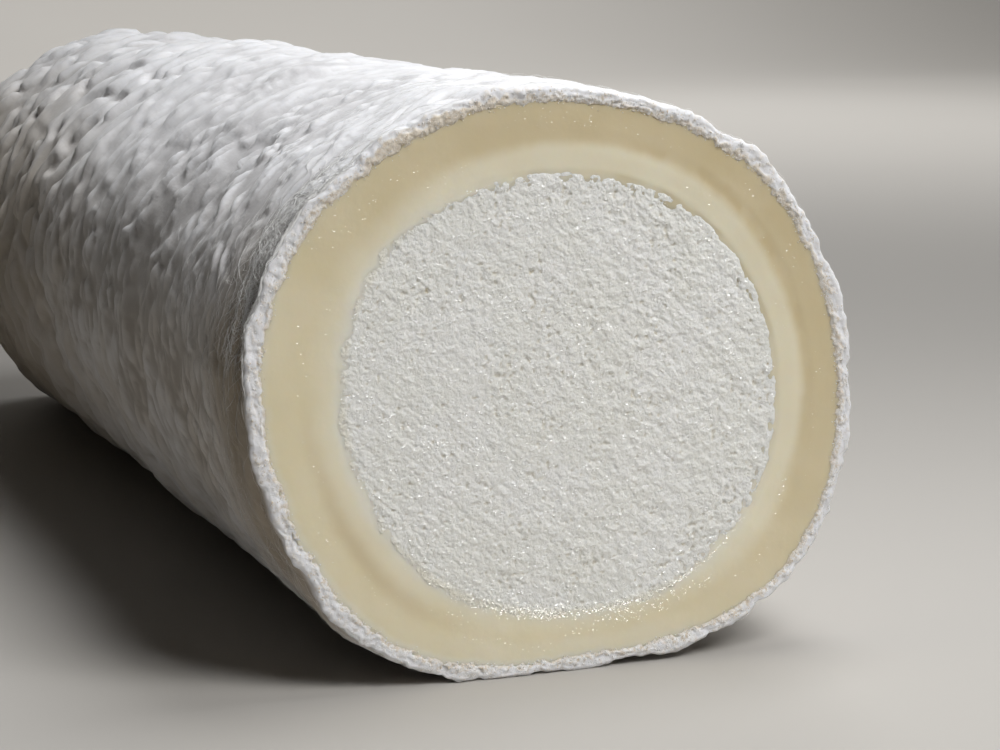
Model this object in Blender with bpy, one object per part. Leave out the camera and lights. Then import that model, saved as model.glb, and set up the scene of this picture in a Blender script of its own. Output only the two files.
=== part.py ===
"""Log of ripened goat cheese with a bloomy white rind, cut straight through at its near end.

The log lies along Y with the cut face towards -Y, and rests on a flat strip at z = 0.
Two pieces: the ripened layer, which carries the rind as relief, and the chalky core in it.
"""
import math

import bmesh
import bpy
from mathutils import Vector, noise

MM = 0.001

# Whole log
LENGTH = 266 * MM
FOOT_DROP = 41.9 * MM

# Cross-section: a mean radius and slow waves, each (waves round, height, angle of a crest)
RIND_RADIUS = 44.9 * MM
RIND_WAVES = (
    (1, 0.96 * MM, math.radians(-69)),
    (2, 2.05 * MM, math.radians(-9)),
    (3, 0.57 * MM, math.radians(-27)),
    (4, 0.87 * MM, math.radians(-36)),
    (5, 0.50 * MM, math.radians(28)),
)
CORE_RADIUS = 32.8 * MM
CORE_WAVES = (
    (2, 1.22 * MM, math.radians(-26)),
    (4, 0.38 * MM, math.radians(-41)),
)
CORE_CENTRE = Vector((0.84 * MM, 0.0, -1.77 * MM))
CORE_GAP = 0.3 * MM
CORE_END_COVER = 14 * MM

# Far end, covered by rind: rounded edge and a slightly domed middle
END_DEPTH = 15 * MM
END_INSET = 13 * MM
END_DOME = 2.5 * MM

# Rind relief: broad dents, folds that run round the log and deepen towards the far end, lumps
DENT_SPACING = 38 * MM
DENT_DEPTH = 0.9 * MM
FOLD_SPACING = 9 * MM
FOLD_REACH = 26 * MM
FOLD_DEPTH = 0.9 * MM
FAR_FOLD_GAIN = 0.8
LUMP_SPACING = 12 * MM
LUMP_DEPTH = 0.7 * MM
RELIEF_START = 9 * MM

# Cut rim of the rind: thickest at two sides, proud of the face, with scallops that fade along the side
RIND_THICKNESS = 2.5 * MM
RIND_THICKER = 0.3 * MM
RIND_THICK_SIDE = math.radians(50)
RIM_PROUD = 0.35 * MM
RIM_UNEVEN = 0.18 * MM
RIM_SCALLOP = 0.6 * MM
RIM_SPACING = 7 * MM
RIM_FADE = 2 * MM
RIM_ROUNDING = 0.35 * MM
RIM_INNER_SHARE = 0.12
RIM_OUTER_SHARE = 0.8

# Face of the ripened layer: shares of the way from the core to the rind, and heights there
RIDGE_SHARE = 0.36
RIDGE_PROUD = 0.15 * MM
GROOVE_SHARE = 0.52
GROOVE_DEEP = 0.15 * MM
FACE_END_SHARE = 0.96

# Face of the core
CORE_PROUD = 0.25 * MM
CORE_EDGE_SHARE = 0.985
CORE_EDGE_ROUNDING = 0.2 * MM
GRAIN_DEPTH = 0.5 * MM
GRAIN_SPACING = 8 * MM
GRAIN_EDGE_POWER = 6

# Mesh fineness
ROUND_STEPS = 72
FIRST_STEP = 1.6 * MM
STEP_GROWTH = 1.25
LAST_STEP = 5.0 * MM
END_STEPS = 5
DOME_STEPS = 5
CORE_FACE_STEPS = 7
CORE_SIDE_STEPS = 3
SHARP_ANGLE = math.radians(50)

# Colours (linear), roughness and metallic share
RIND_COLOUR = (0.84, 0.82, 0.76, 1.0)
RIND_ROUGHNESS = 0.75
CORE_COLOUR = (0.86, 0.85, 0.80, 1.0)
CORE_ROUGHNESS = 0.7
METALLIC = 0.0


def smooth_step(value):
    """Rise from 0 to 1 with level ends."""
    value = min(1.0, max(0.0, value))
    return value * value * (3.0 - 2.0 * value)


def section_radius(mean, waves, angle):
    """Radius of a slightly slumped round at an angle, anticlockwise from +X."""
    return mean + sum(height * math.cos(count * (angle - crest)) for count, height, crest in waves)


def section_point(angle, radius, along):
    """Point at an angle round the log's axis, at a distance along it from the cut face."""
    return Vector((radius * math.cos(angle), along, radius * math.sin(angle)))


def rind_relief(angle, along):
    """Height of dents, folds and lumps over the smooth section, none at the cut."""
    on_round = section_point(angle, RIND_RADIUS, along)
    across = Vector((on_round.x / FOLD_REACH, along / FOLD_SPACING, on_round.z / FOLD_REACH))
    turned = Vector((on_round.z, along, -on_round.x))
    fold_gain = 1.0 + FAR_FOLD_GAIN * smooth_step(along / LENGTH)
    height = DENT_DEPTH * noise.noise(on_round / DENT_SPACING)
    height += FOLD_DEPTH * fold_gain * noise.noise(across)
    height += LUMP_DEPTH * noise.noise(turned / LUMP_SPACING)
    return height * smooth_step(along / RELIEF_START)


def rim_wave(angle, seed):
    """Uneven wave round the cut rim, between about -1 and 1."""
    return 1.6 * noise.noise(section_point(angle, RIND_RADIUS / RIM_SPACING, seed))


def rind_point(angle, along, inset=0.0):
    """Point on the rind's outside, drawn in towards the axis, flattened where it rests."""
    radius = section_radius(RIND_RADIUS, RIND_WAVES, angle)
    share = 1.0 - inset / radius
    point = section_point(angle, share * (radius + rind_relief(angle, along)), along)
    point.z = max(point.z, -FOOT_DROP)
    return point


def core_point(angle, along, gap=0.0, share=1.0):
    """Point on the core's side, or at a share of the way out from its centre."""
    radius = section_radius(CORE_RADIUS, CORE_WAVES, angle) + gap
    return CORE_CENTRE + section_point(angle, share * radius, along)


def creamline_point(angle, share, height=0.0):
    """Point on the ripened layer's face, at a share of the way from the core to the rind."""
    rim = rind_point(angle, 0.0)
    thickness = RIND_THICKNESS + RIND_THICKER * math.cos(2.0 * (angle - RIND_THICK_SIDE))
    rind_inside = rim * (1.0 - thickness / rim.length)
    point = core_point(angle, 0.0, CORE_GAP).lerp(rind_inside, share)
    point.y -= height
    return point


def rim_point(angle, share):
    """Point on the rind's cut rim, at a share of its thickness from the inside."""
    point = creamline_point(angle, 1.0).lerp(rind_point(angle, 0.0), share)
    point.y -= RIM_PROUD + RIM_UNEVEN * rim_wave(angle, 3.0)
    return point


def side_point(angle, along):
    """Point on the rind's outside, scalloped where it was cut."""
    scallop = RIM_SCALLOP * math.exp(-along / RIM_FADE) * rim_wave(angle, 8.0)
    return rind_point(angle, along, scallop)


def core_face_point(angle, share):
    """Point on the core's lightly grained face, level at its edge."""
    point = core_point(angle, 0.0, 0.0, share)
    grain = GRAIN_DEPTH * noise.noise(point / GRAIN_SPACING)
    point.y = grain * (1.0 - share ** GRAIN_EDGE_POWER) - CORE_PROUD
    return point


def ring(place, *more):
    """Points of one ring, one for each step round the log."""
    return [place(math.tau * step / ROUND_STEPS, *more) for step in range(ROUND_STEPS)]


def distances_along(end):
    """Distances from the cut face, close together near the rim and even further on."""
    places = []
    here = 0.0
    step = FIRST_STEP
    while here + step < end:
        here += step
        places.append(here)
        step = min(step * STEP_GROWTH, LAST_STEP)
    return [place * end / here for place in places]


def bore_rings():
    """Rings of the hollow that holds the core, from its floor out towards its mouth."""
    depth = LENGTH - CORE_END_COVER + CORE_GAP
    rings = [ring(core_point, depth, CORE_GAP, 0.5)]
    for step in range(CORE_SIDE_STEPS):
        rings.append(ring(core_point, depth * (1.0 - step / CORE_SIDE_STEPS), CORE_GAP))
    return rings


def face_rings():
    """Rings of the cut face, from the core's mouth over the ridge and groove to the rind's rim."""
    return [
        ring(creamline_point, 0.0),
        ring(creamline_point, RIDGE_SHARE, RIDGE_PROUD),
        ring(creamline_point, GROOVE_SHARE, -GROOVE_DEEP),
        ring(creamline_point, FACE_END_SHARE),
        ring(rim_point, RIM_INNER_SHARE),
        ring(rim_point, RIM_OUTER_SHARE),
    ]


def side_rings():
    """Rings along the rind's outside, up to where the far end starts to turn in."""
    places = [RIM_ROUNDING] + distances_along(LENGTH - END_DEPTH)
    return [ring(side_point, along) for along in places]


def end_rings():
    """Rings over the rounded edge and the domed far end, without its centre."""
    rings = []
    for step in range(1, END_STEPS + 1):
        turn = 0.5 * math.pi * step / END_STEPS
        along = LENGTH - END_DEPTH + (END_DEPTH - END_DOME) * math.sin(turn)
        rings.append(ring(rind_point, along, END_INSET * (1.0 - math.cos(turn))))
    edge = rings[-1]
    for step in range(1, DOME_STEPS):
        share = 1.0 - step / DOME_STEPS
        along = LENGTH - END_DOME * share * share
        rings.append([Vector((point.x * share, along, point.z * share)) for point in edge])
    return rings


def core_rings():
    """Rings of the core, from near the middle of its cut face to its hidden end."""
    depth = LENGTH - CORE_END_COVER
    rings = [ring(core_face_point, step / CORE_FACE_STEPS) for step in range(1, CORE_FACE_STEPS)]
    rings.append(ring(core_face_point, CORE_EDGE_SHARE))
    rings.append(ring(core_point, CORE_EDGE_ROUNDING - CORE_PROUD))
    for step in range(1, CORE_SIDE_STEPS + 1):
        rings.append(ring(core_point, depth * step / CORE_SIDE_STEPS))
    rings.append(ring(core_point, depth, 0.0, 0.5))
    return rings


def closed_mesh(name, rings, first, last):
    """Mesh of quads through the rings, closed by a fan of triangles round a point at either end."""
    shape = bmesh.new()
    start = shape.verts.new(first)
    loops = [[shape.verts.new(point) for point in points] for points in rings]
    finish = shape.verts.new(last)
    for step in range(ROUND_STEPS):
        after = (step + 1) % ROUND_STEPS
        shape.faces.new((start, loops[0][step], loops[0][after]))
        for low, high in zip(loops, loops[1:]):
            shape.faces.new((low[after], low[step], high[step], high[after]))
        shape.faces.new((loops[-1][after], loops[-1][step], finish))
    bmesh.ops.recalc_face_normals(shape, faces=shape.faces)
    mesh = bpy.data.meshes.new(name)
    shape.to_mesh(mesh)
    shape.free()
    return mesh


def plain_material(name, colour, roughness):
    """Material of one colour."""
    material = bpy.data.materials.new(name)
    material.use_nodes = True
    shader = material.node_tree.nodes["Principled BSDF"]
    shader.inputs["Base Color"].default_value = colour
    shader.inputs["Roughness"].default_value = roughness
    shader.inputs["Metallic"].default_value = METALLIC
    material.diffuse_color = colour
    return material


def add_piece(name, mesh, material):
    """Smooth-shaded named piece with its material."""
    mesh.materials.append(material)
    mesh.shade_smooth()
    mesh.set_sharp_from_angle(angle=SHARP_ANGLE)
    piece = bpy.data.objects.new(name, mesh)
    bpy.context.scene.collection.objects.link(piece)
    return piece


def ripened_layer():
    """Creamy layer under and with the white rind, a cup that is closed at the far end."""
    mesh = closed_mesh(
        "rind_and_creamline",
        bore_rings() + face_rings() + side_rings() + end_rings(),
        CORE_CENTRE + Vector((0.0, LENGTH - CORE_END_COVER + CORE_GAP, 0.0)),
        Vector((0.0, LENGTH, 0.0)),
    )
    material = plain_material("rind_and_creamline", RIND_COLOUR, RIND_ROUGHNESS)
    return add_piece("rind_and_creamline", mesh, material)


def core():
    """Chalky white middle, from the cut face almost to the far end."""
    mesh = closed_mesh(
        "chalky_core",
        core_rings(),
        CORE_CENTRE - Vector((0.0, CORE_PROUD, 0.0)),
        CORE_CENTRE + Vector((0.0, LENGTH - CORE_END_COVER, 0.0)),
    )
    material = plain_material("chalky_core", CORE_COLOUR, CORE_ROUGHNESS)
    return add_piece("chalky_core", mesh, material)


def stand_centred(pieces):
    """Place the pieces so that the whole stands on z = 0, centred in X and Y."""
    points = [vertex.co for piece in pieces for vertex in piece.data.vertices]
    low = [min(point[axis] for point in points) for axis in range(3)]
    high = [max(point[axis] for point in points) for axis in range(3)]
    for piece in pieces:
        piece.location = (-(low[0] + high[0]) / 2, -(low[1] + high[1]) / 2, -low[2])


for old in list(bpy.data.objects):
    bpy.data.objects.remove(old, do_unlink=True)

stand_centred([ripened_layer(), core()])
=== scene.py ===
"""Looks of a log of ripened goat cheese, cut straight through at its near end.

Wrinkled bloomy rind, translucent ripened layer, chalky core, crumbs, wet beads and mould hairs.
"""
import math
import random

import bpy
from mathutils import Matrix, Vector, noise


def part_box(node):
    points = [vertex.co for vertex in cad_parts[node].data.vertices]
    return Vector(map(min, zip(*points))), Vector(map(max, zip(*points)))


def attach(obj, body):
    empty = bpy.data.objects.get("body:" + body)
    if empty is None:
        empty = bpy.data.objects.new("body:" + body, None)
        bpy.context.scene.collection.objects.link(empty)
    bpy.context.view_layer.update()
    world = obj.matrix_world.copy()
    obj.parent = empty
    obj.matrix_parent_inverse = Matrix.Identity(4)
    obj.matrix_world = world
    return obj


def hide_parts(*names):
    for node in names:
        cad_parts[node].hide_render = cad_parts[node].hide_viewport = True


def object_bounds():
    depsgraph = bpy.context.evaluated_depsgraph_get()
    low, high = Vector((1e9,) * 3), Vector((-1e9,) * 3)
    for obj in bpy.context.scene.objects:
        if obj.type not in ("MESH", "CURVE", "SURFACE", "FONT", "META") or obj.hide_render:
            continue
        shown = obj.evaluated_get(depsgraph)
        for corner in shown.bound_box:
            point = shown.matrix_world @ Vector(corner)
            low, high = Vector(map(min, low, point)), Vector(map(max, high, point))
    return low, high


MM = 0.001
NOISE_SEED = 3

# Form of the solids, in the log's own frame: X across, Y along from the cut, Z up from the axis
LENGTH = 266 * MM
FOOT_DROP = 41.9 * MM
RIND_RADIUS = 44.9 * MM
RIND_WAVES = (
    (1, 0.96 * MM, math.radians(-69)),
    (2, 2.05 * MM, math.radians(-9)),
    (3, 0.57 * MM, math.radians(-27)),
    (4, 0.87 * MM, math.radians(-36)),
    (5, 0.50 * MM, math.radians(28)),
)
CORE_RADIUS = 32.8 * MM
CORE_WAVES = (
    (2, 1.22 * MM, math.radians(-26)),
    (4, 0.38 * MM, math.radians(-41)),
)
CORE_CENTRE = Vector((0.84 * MM, 0.0, -1.77 * MM))
CORE_END_COVER = 14 * MM
END_DEPTH = 15 * MM
END_INSET = 13 * MM
END_DOME = 2.5 * MM
DENT_SPACING = 38 * MM
DENT_DEPTH = 0.9 * MM
FOLD_SPACING = 9 * MM
FOLD_REACH = 26 * MM
FOLD_DEPTH = 0.9 * MM
FAR_FOLD_GAIN = 0.8
LUMP_SPACING = 12 * MM
LUMP_DEPTH = 0.7 * MM
RELIEF_START = 9 * MM
RIND_THICKNESS = 2.5 * MM
RIND_THICKER = 0.3 * MM
RIND_THICK_SIDE = math.radians(50)
RIND_THICKER_LEFT = 0.38 * MM
RIND_THICKER_UP_LEFT = 0.45 * MM
RIM_PROUD = 0.35 * MM
RIM_UNEVEN = 0.18 * MM
RIM_SCALLOP = 0.6 * MM
RIM_SPACING = 7 * MM
RIM_FADE = 2 * MM
RIM_KINK_DEPTH = 0.45 * MM
RIM_NICK_DEPTH = 0.32 * MM
CURD_PROUD = 0.05 * MM
CORE_EDGE_SUNK = -0.25 * MM
CORE_OVERLAP = 0.74
CORE_BODY_SHARE = 0.92
CORE_BODY_START = 2 * MM

# Wrinkles of the rind, each with its reach round the log, its spacing along it and its depth
STREAKS = (13.0 * MM, 2.3 * MM, 0.70 * MM)
PUFFS = (6.5 * MM, 2.3 * MM, 1.25 * MM)
RIDGES = (10.0 * MM, 3.0 * MM, 0.85 * MM)
FOLDS = (9.0 * MM, 4.8 * MM, 2.0 * MM)
CREASES = (3.2 * MM, 1.1 * MM, 0.15 * MM)
LOWEST_CREASE = -0.35 * MM
PATTERN_TURN = Matrix.Rotation(0.9, 3, Vector((2.0, 1.0, 3.0)))
HOLLOW_DEPTH = 1.2 * MM
FAR_HOLLOW_DEPTH = 1.6 * MM

# What the rind's mesh carries at each point
RIND_VALUES = ("crease", "cut", "age_and_shade", "brown_and_shade", "beige")

# Mesh fineness; the rind's near part is twice as fine round the turn as its far part
RIM_STEPS = 1024
RIM_RINGS = 15
RIM_STEP = 0.3 * MM
RIM_REACH = 2.4 * MM
NEAR_STEP = 0.52 * MM
SEAM = 38 * MM
SEAM_OVERLAP = 0.2 * MM
SEAM_SHARE = 0.92
FAR_STEP = 1.36 * MM
END_TURNS = 12
END_DOMES = 15
CREAM_STEPS = 512
CREAM_RINGS = 48
CREAM_FACE = (-0.30, 1.08)
CORE_CELLS = 306

# Photograph's camera: 1000 by 750, focal length in pixels, aimed from the cut face's middle
FOCAL_PIXELS = 2504.0
FRAME_PIXELS = 1000.0
SENSOR_MM = 36.0
CAMERA_AZIMUTH = math.radians(21.10)
CAMERA_PITCH = math.radians(9.47)
CAMERA_DISTANCE = 350.1 * MM
AIM = Vector((-9.5 * MM, 0.0, 1.8 * MM))

# Lamps: name, place, target, size in metres, watts, tone and spread in degrees
BY_CUT = (0.0, -0.125, 0.045)
WHITE = (1.0, 1.0, 1.0)
LAMPS = (
    ("front_lamp", (0.174, -0.51, 0.555), BY_CUT, 0.32, 1.15, WHITE, 100.0),
    ("top_lamp", (0.115, -0.07, 0.480), BY_CUT, 0.20, 0.60, (0.98, 0.99, 1.0), 130.0),
    ("floor_lamp", (0.6, 0.75, 0.7), (0.6, 0.85, 0.0), 0.6, 5.0, WHITE, 180.0),
    ("wall_lamp", (0.4, 1.3, 1.2), (0.4, 2.3, 0.1), 0.8, 16.0, WHITE, 180.0),
)
SURROUND_TONE = (1.0, 0.93, 0.85, 1.0)
SURROUND_STRENGTH = 0.010


def smooth_step(value):
    """Rise from 0 to 1 with level ends."""
    value = min(1.0, max(0.0, value))
    return value * value * (3.0 - 2.0 * value)


def mix(first, second, share):
    """Value at a share of the way from first to second."""
    return first + (second - first) * share


def hump(value, middle, reach):
    """Soft bump of height 1 at the middle, 0 beyond its reach."""
    return smooth_step(1.0 - abs(value - middle) / reach)


def turn_hump(angle, middle, reach):
    """Soft bump round the turn, its middle and reach in degrees."""
    off = (math.degrees(angle) - middle + 180.0) % 360.0 - 180.0
    return smooth_step(1.0 - abs(off) / reach)


def section_radius(mean, waves, angle):
    """Radius of a slightly slumped round at an angle, anticlockwise from +X."""
    return mean + sum(height * math.cos(count * (angle - crest)) for count, height, crest in waves)


def section_point(angle, radius, along):
    """Point at an angle round the log's axis, at a distance along it from the cut."""
    return Vector((radius * math.cos(angle), along, radius * math.sin(angle)))


def rind_relief(angle, along):
    """Height of dents, folds and lumps over the smooth section, none at the cut."""
    on_round = section_point(angle, RIND_RADIUS, along)
    across = Vector((on_round.x / FOLD_REACH, along / FOLD_SPACING, on_round.z / FOLD_REACH))
    turned = Vector((on_round.z, along, -on_round.x))
    fold_gain = 1.0 + FAR_FOLD_GAIN * smooth_step(along / LENGTH)
    height = DENT_DEPTH * noise.noise(on_round / DENT_SPACING)
    height += FOLD_DEPTH * fold_gain * noise.noise(across)
    height += LUMP_DEPTH * noise.noise(turned / LUMP_SPACING)
    return height * smooth_step(along / RELIEF_START)


def rim_wave(angle, seed):
    """Uneven wave round the cut rim, between about -1 and 1."""
    return 1.6 * noise.noise(section_point(angle, RIND_RADIUS / RIM_SPACING, seed))


def crosswise(point, wrinkle, seed):
    """Place in a pattern that is stretched round the log, and turned so that its lattice hides."""
    reach, spacing, _ = wrinkle
    return PATTERN_TURN @ Vector((point.x / reach, point.y / spacing + seed, point.z / reach))


def billow(point, wrinkle, seed, gain=2.3):
    """Long folds with sharp creases between them: 0 in a crease, up to 1 on a fold."""
    return min(1.0, gain * abs(noise.noise(crosswise(point, wrinkle, seed))))


def puffs(point, wrinkle, seed):
    """Rounded lumps of uneven height parted by creases, from 0 to 1."""
    near, spots = noise.voronoi(crosswise(point, wrinkle, seed))
    size = 0.62 + 0.38 * noise.cell(spots[0] * 7.3)
    crease = smooth_step((near[1] - near[0]) / 0.50)
    return size * crease * max(0.0, 1.0 - near[0] * near[0])


def wrinkles(point, angle):
    """Height of the rind's wrinkles, and how deep in a crease the place is, from 0 to 1."""
    bend = noise.noise_vector(point / (9 * MM)) * (2.0 * MM)
    bent = point + bend
    near = 1.0 - smooth_step((point.y - 8 * MM) / (26 * MM))
    far = smooth_step((point.y - 45 * MM) / (130 * MM))
    side = turn_hump(angle, 150, 80)
    shoulder = mix(0.34, 1.0, side)
    middle = shoulder * (1.0 - 0.75 * near) * (1.0 - 0.80 * far)
    streak = billow(bent, STREAKS, 3.0, 3.4)
    puff = puffs(bent, PUFFS, 7.0)
    ridge = billow(bent + bend, RIDGES, 11.0, 2.8)
    fold = smooth_step(billow(bent, FOLDS, 1.0))
    fine = billow(bent + bend, CREASES, 5.0)
    patch = mix(0.55, 1.0, smooth_step(0.5 + 1.3 * noise.noise(point / (24 * MM))))
    height = near * STREAKS[2] * (streak - 0.6) + (1.0 - 0.6 * far) * CREASES[2] * (fine - 0.4)
    height += patch * middle * (PUFFS[2] * (puff - 0.35) + RIDGES[2] * (ridge - 0.6))
    height += far * mix(0.40, 0.85, side) * FOLDS[2] * (fold - 0.5)
    height = max(height, LOWEST_CREASE + 0.35 * (height - LOWEST_CREASE))
    crease = near * 0.8 * (1.0 - streak) ** 2 + patch * middle * (1.0 - puff) ** 3
    crease += 0.6 * patch * middle * (1.0 - ridge) ** 2
    crease += far * 0.5 * (1.0 - fold) ** 2 + 0.20 * (1.0 - fine) ** 3
    return height, min(1.0, crease)


def rim_kinks(angle):
    """Sharp inward kinks between the rim's lobes: 1 at a kink, 0 on a lobe."""
    lobe = min(1.0, 2.6 * abs(noise.noise(section_point(angle, RIND_RADIUS / (7.5 * MM), 21.0))))
    return (1.0 - lobe) ** 2


def rind_point(angle, along, inset=0.0, tilt=0.0):
    """Place on the dressed rind and its crease value; tilt turns the relief to face +Y."""
    radius = section_radius(RIND_RADIUS, RIND_WAVES, angle)
    share = 1.0 - inset / radius
    edge = math.exp(-along / RIM_FADE)
    nicks = noise.noise(section_point(angle, RIND_RADIUS / (1.3 * MM), 2.0))
    drop = RIM_SCALLOP * rim_wave(angle, 8.0) + RIM_KINK_DEPTH * rim_kinks(angle) + RIM_NICK_DEPTH * nicks
    drop *= edge
    drop += HOLLOW_DEPTH * hump(along, 3.2 * MM, 2.9 * MM) * (0.15 + 0.85 * turn_hump(angle, 160, 65))
    drop += FAR_HOLLOW_DEPTH * hump(along, 195 * MM, 75 * MM) * turn_hump(angle, 150, 38)
    base = section_point(angle, share * (radius + rind_relief(angle, along) - drop), along)
    height, crease = wrinkles(base, angle)
    height *= mix(0.22, 1.0, smooth_step(along / (3.5 * MM)))
    out = Vector((math.cos(angle) * math.cos(tilt), math.sin(tilt), math.sin(angle) * math.cos(tilt)))
    place = base + out * height
    place.z = max(place.z, -FOOT_DROP)
    return place, crease


def rind_inside(angle):
    """Radius of the rind's inner boundary at the cut, slightly uneven."""
    radius = section_radius(RIND_RADIUS, RIND_WAVES, angle)
    thickness = RIND_THICKNESS + RIND_THICKER * math.cos(2.0 * (angle - RIND_THICK_SIDE))
    thicker = RIND_THICKER_LEFT * turn_hump(angle, 172, 60)
    thicker += RIND_THICKER_UP_LEFT * turn_hump(angle, 118, 35)
    uneven = noise.noise(section_point(angle, RIND_RADIUS, 0.0) / (3.2 * MM))
    finer = noise.noise(section_point(angle, RIND_RADIUS, 5.0 * MM) / (0.9 * MM))
    return radius - (thickness + thicker) + 0.45 * MM * uneven + 0.28 * MM * finer


def joined_faces(rings):
    """Faces between neighbouring rings, also where one has twice the points of the next."""
    faces = []
    start = 0
    for one, two in zip(rings, rings[1:]):
        low_count, high_count = len(one), len(two)
        above = start + low_count
        for step in range(min(low_count, high_count)):
            after = (step + 1) % min(low_count, high_count)
            if low_count == high_count:
                faces.append((start + after, start + step, above + step, above + after))
            elif high_count > low_count:
                middle = above + 2 * step + 1
                faces.append((start + step, above + 2 * step, middle))
                faces.append((start + after, start + step, middle))
                faces.append((start + after, middle, above + 2 * after))
            else:
                middle = start + 2 * step + 1
                faces.append((middle, start + 2 * step, above + step))
                faces.append((middle, above + step, above + after))
                faces.append((start + 2 * after, middle, above + after))
        start = above
    return faces


def fan(centre, first, count, backwards):
    """Triangles that close a ring of points round a centre."""
    pairs = [(first + step, first + (step + 1) % count) for step in range(count)]
    return [(centre, b, a) if backwards else (centre, a, b) for a, b in pairs]


def tube_mesh(name, rings, first, last, values, sharp):
    """Closed mesh through rings of points, with float values by name and some rings as sharp edges."""
    points = [point for ring in rings for point in ring] + [first, last]
    faces = joined_faces(rings)
    total = len(points) - 2
    faces += fan(total, 0, len(rings[0]), False)
    faces += fan(total + 1, total - len(rings[-1]), len(rings[-1]), True)
    mesh = bpy.data.meshes.new(name)
    mesh.from_pydata([tuple(point) for point in points], [], faces)
    for key, numbers in values.items():
        layer = mesh.attributes.new(key, "FLOAT", "POINT")
        layer.data.foreach_set("value", numbers + [0.0, 0.0])
    if sharp:
        on_sharp = set()
        for number in sharp:
            start = sum(len(ring) for ring in rings[:number])
            on_sharp.update(range(start, start + len(rings[number])))
        marks = [edge.vertices[0] in on_sharp and edge.vertices[1] in on_sharp for edge in mesh.edges]
        mesh.attributes.new("sharp_edge", "BOOLEAN", "EDGE").data.foreach_set("value", marks)
    return mesh


def add_piece(name, mesh, material, replaced, smooth=True):
    """Shown piece that rides with the log and stands for a solid's place."""
    mesh.transform(Matrix.Translation(AXIS))
    mesh.materials.append(material)
    if smooth:
        mesh.shade_smooth()
    mesh.update()
    piece = bpy.data.objects.new(name, mesh)
    bpy.context.scene.collection.objects.link(piece)
    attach(piece, "root")
    if replaced:
        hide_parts(replaced)
    return piece


class Look:
    """Material of Blender's nodes, made with short calls."""

    def __init__(self, name):
        self.material = bpy.data.materials.new(name)
        self.material.use_nodes = True
        self.nodes = self.material.node_tree.nodes
        self.links = self.material.node_tree.links
        self.shader = self.nodes["Principled BSDF"]
        self.place = self.nodes.new("ShaderNodeTexCoord").outputs["Object"]

    def put(self, socket, value):
        """Give a socket a number, a colour or another node's output."""
        if hasattr(value, "links"):
            self.links.new(value, socket)
        else:
            socket.default_value = value

    def principled(self, **values):
        """Set the shader's sockets; an underscore in a key stands for a space."""
        for key, value in values.items():
            self.put(self.shader.inputs[key.replace("_", " ")], value)

    def attribute(self, name):
        """Value that the mesh carries."""
        node = self.nodes.new("ShaderNodeAttribute")
        node.attribute_name = name
        return node.outputs["Fac"]

    def stretched(self, scale, turn=(0.0, 0.0, 0.0)):
        """Object place, turned and stretched."""
        node = self.nodes.new("ShaderNodeMapping")
        node.inputs["Rotation"].default_value = turn
        node.inputs["Scale"].default_value = scale
        self.links.new(self.place, node.inputs["Vector"])
        return node.outputs["Vector"]

    def noise(self, size, detail=2.0, roughness=0.5, vector=None):
        """Soft noise with lumps of about the given size, from 0 to 1."""
        node = self.nodes.new("ShaderNodeTexNoise")
        node.inputs["Scale"].default_value = 1.0 / size
        node.inputs["Detail"].default_value = detail
        node.inputs["Roughness"].default_value = roughness
        self.links.new(vector or self.place, node.inputs["Vector"])
        return node.outputs["Fac"]

    def grains(self, size):
        """Rounded grains of about the given size, 1 in their middle and 0 between them."""
        node = self.nodes.new("ShaderNodeTexVoronoi")
        node.inputs["Scale"].default_value = 1.0 / size
        self.links.new(self.place, node.inputs["Vector"])
        return self.ramp(node.outputs["Distance"], 0.05, 0.75, 1.0, 0.0)

    def ramp(self, value, low, high, to_low=0.0, to_high=1.0):
        """Value mapped softly from one range to another."""
        node = self.nodes.new("ShaderNodeMapRange")
        node.interpolation_type = "SMOOTHSTEP"
        self.put(node.inputs["Value"], value)
        node.inputs["From Min"].default_value = low
        node.inputs["From Max"].default_value = high
        node.inputs["To Min"].default_value = to_low
        node.inputs["To Max"].default_value = to_high
        return node.outputs["Result"]

    def times(self, first, second):
        """Product of two values."""
        node = self.nodes.new("ShaderNodeMath")
        node.operation = "MULTIPLY"
        self.put(node.inputs[0], first)
        self.put(node.inputs[1], second)
        return node.outputs["Value"]

    def blend(self, share, first, second):
        """Colour at a share of the way from first to second."""
        node = self.nodes.new("ShaderNodeMix")
        node.data_type = "RGBA"
        self.put(node.inputs["Factor"], share)
        self.put(node.inputs["A"], first)
        self.put(node.inputs["B"], second)
        return node.outputs["Result"]

    def bump(self, height, distance, strength=1.0, before=None):
        """Normal bent by a height map, on top of an earlier one."""
        node = self.nodes.new("ShaderNodeBump")
        node.inputs["Strength"].default_value = strength
        node.inputs["Distance"].default_value = distance
        self.links.new(height, node.inputs["Height"])
        if before:
            self.links.new(before, node.inputs["Normal"])
        return node.outputs["Normal"]


def colour(red, green, blue):
    """Opaque linear colour."""
    return (red, green, blue, 1.0)


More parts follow.
